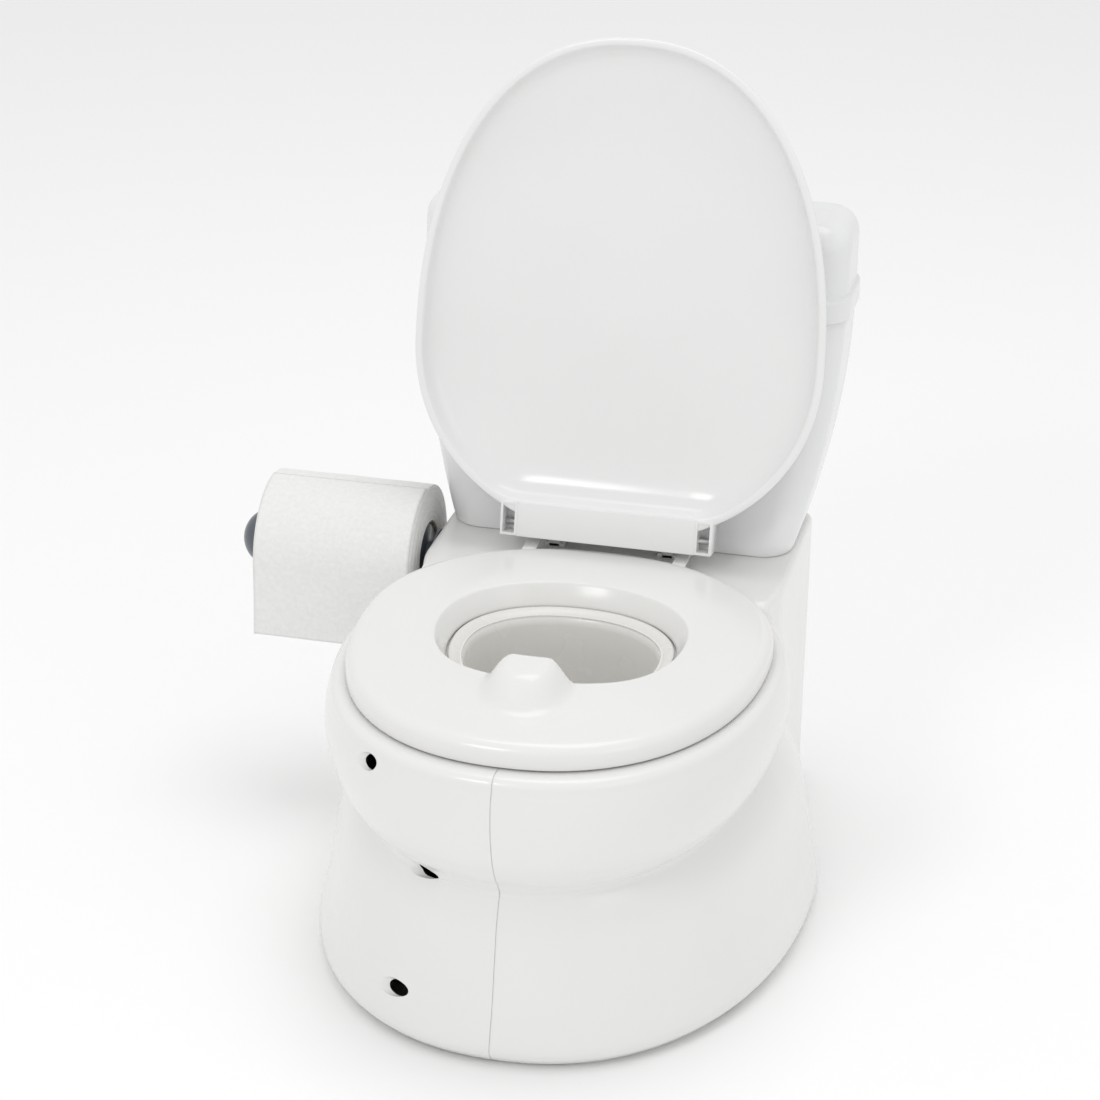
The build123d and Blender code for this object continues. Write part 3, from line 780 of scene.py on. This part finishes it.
def make_tank_lid():
    inner = [(317.3, -2.6), (318.5, -2.7), (330.0, -2.7), (345.0, -2.7), (355.0, -2.7), (362.0, -5.0),
             (366.5, -9.0), (368.6, -14.0)]
    rings = [tank_ring(z, grow) for z, grow in inner]
    rings += inward(rings[-1], (0.8, 0.5, 0.2))
    rings = list(reversed(rings))
    for z, grow in ((317.05, -2.0), (317.0, -1.0), (317.0, 1.2), (317.15, 1.8), (317.6, 2.2), (318.4, 2.3)):
        rings.append(tank_ring(z, grow))
    for z, grow in ((321.0, 2.3), (324.0, 2.3), (327.0, 2.3), (328.6, 2.25), (329.4, 2.0), (329.9, 1.5),
                    (330.1, 1.0),
                    (330.3, 0.6), (330.9, 0.35), (332.5, 0.3), (336.0, 0.3), (341.0, 0.3), (347.0, 0.3),
                    (352.0, 0.3), (356.5, 0.3)):
        rings.append(tank_ring(z, grow))
    for step in range(1, 10):
        angle = math.pi / 2 * step / 9
        rings.append(tank_ring(356.5 + 14.9 * math.sin(angle), 0.3 - 14.0 * (1 - math.cos(angle))))
    rings += inward(rings[-1], (0.93, 0.8, 0.6, 0.4, 0.2), 0.6)
    shell = skin("tank_lid", rings, cap_first=True, cap_last=True, sharp=60)
    lip = [tank_ring(z, grow) for z, grow in ((311.3, -5.0), (311.0, -5.6), (311.3, -6.3), (312.0, -6.5),
                                              (322.0, -6.5),
                                              (322.8, -5.4), (322.0, -4.4), (312.2, -4.3))]
    return join("tank_lid", shell, skin("lip", lip, loop=True))


finish_piece(make_tank(), "base", "tank_white", TANK_WHITE, "tank")
finish_piece(make_tank_lid(), "tank_lid", "tank_white", TANK_WHITE, "tank_lid")


# ---- toilet roll and its holder ----

ROLL_Y, ROLL_Z, ROLL_END, ROLL_LENGTH = 20.0, 160.0, -111.5, 96.0
SHEET_INSET, SHEET_DROP = 0.8, 44.0
FAR_END = ROLL_END - ROLL_LENGTH
AXIS = (0.0, ROLL_Y, ROLL_Z)


def soft(angle, along):
    """Slight unevenness of wound paper."""
    return 0.0035 * math.sin(3 * angle + along * 0.05) * math.sin(along * 0.11 + 1) - 0.0035


def make_paper():
    right_face, left_face = [], []
    for i in range(31):
        r = 20.6 + (41.0 - 20.6) * i / 30
        sink = 0.35 * (math.sin(r * 5.1) * 0.5 + math.sin(r * 2.3 + 1) * 0.5) + 0.35
        right_face.append((r, ROLL_END - sink))
        left_face.append((r, FAR_END + sink))
    wound = right_face + [(41.6, ROLL_END - 0.5), (41.9, ROLL_END - 1.4)]
    for i in range(1, 20):
        wound.append((41.95, ROLL_END - 1.4 + (FAR_END - ROLL_END + 2.8) * i / 20))
    wound += [(41.9, FAR_END + 1.4), (41.6, FAR_END + 0.5)] + left_face[::-1]
    wound += [(20.6, FAR_END + 30.0), (20.6, FAR_END + 60.0)]
    return lathe("roll_paper", wound, AXIS, count=128, loop=True, wobble=soft)


def make_loose_sheet():
    rings = []
    for i in range(61):
        row = []
        for j in range(41):
            x = FAR_END + SHEET_INSET + (ROLL_LENGTH - 2 * SHEET_INSET) * j / 40
            radius = 41.95 + 0.55 * float(smoothstep(i / 9.0))
            if i <= 30:
                angle = math.pi / 2 + math.pi / 2 * i / 30
                y, z = ROLL_Y + radius * math.cos(angle), ROLL_Z + radius * math.sin(angle)
            else:
                drop = (i - 30) / 30
                edge = j / 40
                curl = 0.5 * drop * drop * (1 + 0.6 * math.cos(math.pi * edge))
                wave = 0.25 * drop * math.sin(2.4 * math.pi * edge + 0.6)
                y, z = ROLL_Y - radius - curl + wave, ROLL_Z - SHEET_DROP * drop
                x -= 1.2 * drop * drop * (0.5 - edge)
            row.append((x, y, z))
        rings.append(row)
    sheet = skin("loose_sheet", rings, closed=False, sharp=80)
    m = sheet.modifiers.new("thickness", "SOLIDIFY")
    m.thickness = 0.35 * MM
    m.offset = 0.0
    return apply_modifiers(sheet)


finish_piece(make_paper(), "roll", "tissue", TISSUE, "roll_paper")
sheet = finish_piece(make_loose_sheet(), "spindle", "tissue", TISSUE, "loose_sheet")

core = [(19.6, ROLL_END - 0.2), (19.5, ROLL_END - 0.6), (19.5, FAR_END + 0.6), (19.6, FAR_END + 0.2),
        (20.2, FAR_END + 0.1), (20.45, FAR_END + 0.5), (20.45, ROLL_END - 0.5), (20.2, ROLL_END - 0.1)]
finish_piece(lathe("roll_core", core, AXIS, count=72, loop=True), "roll", "card", CARD, "roll_core")

drum = [(0.0, -95.2), (7.6, -95.2), (8.0, -95.7), (8.0, -112.0), (9.0, -112.5), (17.4, -112.5),
        (18.5, -113.0),
        (18.9, -114.0), (18.9, -130.0), (18.4, -130.6), (18.4, -132.4), (18.9, -133.0), (18.9, -204.0),
        (18.6, -205.3), (17.6, -205.5), (16.6, -205.2), (16.4, -204.0), (16.4, -118.0), (14.0, -116.6),
        (0.0, -116.5)]
finish_piece(lathe("roll_spindle", drum, AXIS, count=72), "spindle", "grey_plastic", GREY, "roll_spindle")

knob = [(0.0, -191.7), (14.8, -191.7), (16.2, -192.4), (16.35, -194.0), (16.35, -208.0), (16.9, -208.5),
        (17.3, -208.7)]
knob += [(17.5 * math.cos(a), -208.8 - 17.2 * math.sin(a)) for a in np.linspace(0.04, math.pi / 2 - 0.06, 22)]
knob.append((0.0, -226.0))
finish_piece(lathe("roll_knob", knob, AXIS, count=72), "spindle", "grey_plastic", GREY, "roll_knob")

socket = [(8.1, -106.2), (8.7, -106.7 + 0.3), (9.2, -106.6), (15.2, -106.6), (15.9, -106.3), (16.0, -105.5),
          (15.9, -105.05), (13.0, -105.0), (13.0, -91.5), (12.5, -91.0), (8.6, -91.0), (8.1, -91.5)]
collar = lathe("roll_socket", socket, AXIS, count=72, loop=True)
finish_piece(collar, "base", "grey_plastic", GREY, "roll_socket")


# ---- floor, light and camera ----

FLOOR_HALF = 30000


def make_floor():
    across = np.linspace(-FLOOR_HALF, FLOOR_HALF, 13)
    rows = [[(x, y, 0.0) for x in across] for y in across]
    floor = skin("floor", rows, closed=False)
    material, tree, shader = new_material("pale_floor", (0.97, 0.97, 0.97), 0.9)
    shader.inputs["Specular IOR Level"].default_value = 0.1
    floor.data.materials.append(material)
    if floor.data.polygons[0].normal.z < 0:
        floor.data.flip_normals()


make_floor()


def area_light(name, place, target, size, power):
    light = bpy.data.lights.new(name, "AREA")
    light.shape = "RECTANGLE"
    light.size, light.size_y = size
    light.energy = power
    obj = bpy.data.objects.new(name, light)
    bpy.context.scene.collection.objects.link(obj)
    obj.location = place
    obj.rotation_euler = (Vector(target) - Vector(place)).to_track_quat("-Z", "Y").to_euler()
    return obj


area_light("key", (-0.7, -1.9, 1.7), (0.0, -0.05, 0.2), (0.6, 0.45), 6.5)
area_light("fill", (1.6, -1.3, 1.2), (0.0, -0.05, 0.2), (1.0, 1.0), 2.0)
area_light("top", (0.1, 0.2, 2.2), (0.0, -0.05, 0.2), (1.4, 1.0), 8.5)

world = bpy.data.worlds.new("studio")
world.use_nodes = True
world.node_tree.nodes["Background"].inputs["Color"].default_value = (1.0, 1.0, 1.0, 1)
world.node_tree.nodes["Background"].inputs["Strength"].default_value = 0.8
bpy.context.scene.world = world
bpy.context.scene.view_settings.view_transform = "Standard"
bpy.context.scene.view_settings.look = "None"


def make_camera():
    turn, raised, roll = math.radians(13.35), math.radians(23.82), math.radians(0.78)
    back = Vector((math.sin(turn) * math.cos(raised), -math.cos(turn) * math.cos(raised), math.sin(raised)))
    right = Vector((math.cos(turn), math.sin(turn), 0.0))
    up = back.cross(right)
    right, up = (right * math.cos(roll) + up * math.sin(roll), up * math.cos(roll) - right * math.sin(roll))
    data = bpy.data.cameras.new("camera")
    data.sensor_width = 36.0
    data.lens = 94.64
    data.clip_start, data.clip_end = 0.05, 50.0
    camera = bpy.data.objects.new("camera", data)
    bpy.context.scene.collection.objects.link(camera)
    turned = Matrix((right, up, back)).transposed().to_4x4()
    turned.translation = Vector((-0.01642, -0.07, 0.21212)) + back * 1.59364
    camera.matrix_world = turned
    bpy.context.scene.camera = camera


make_camera()
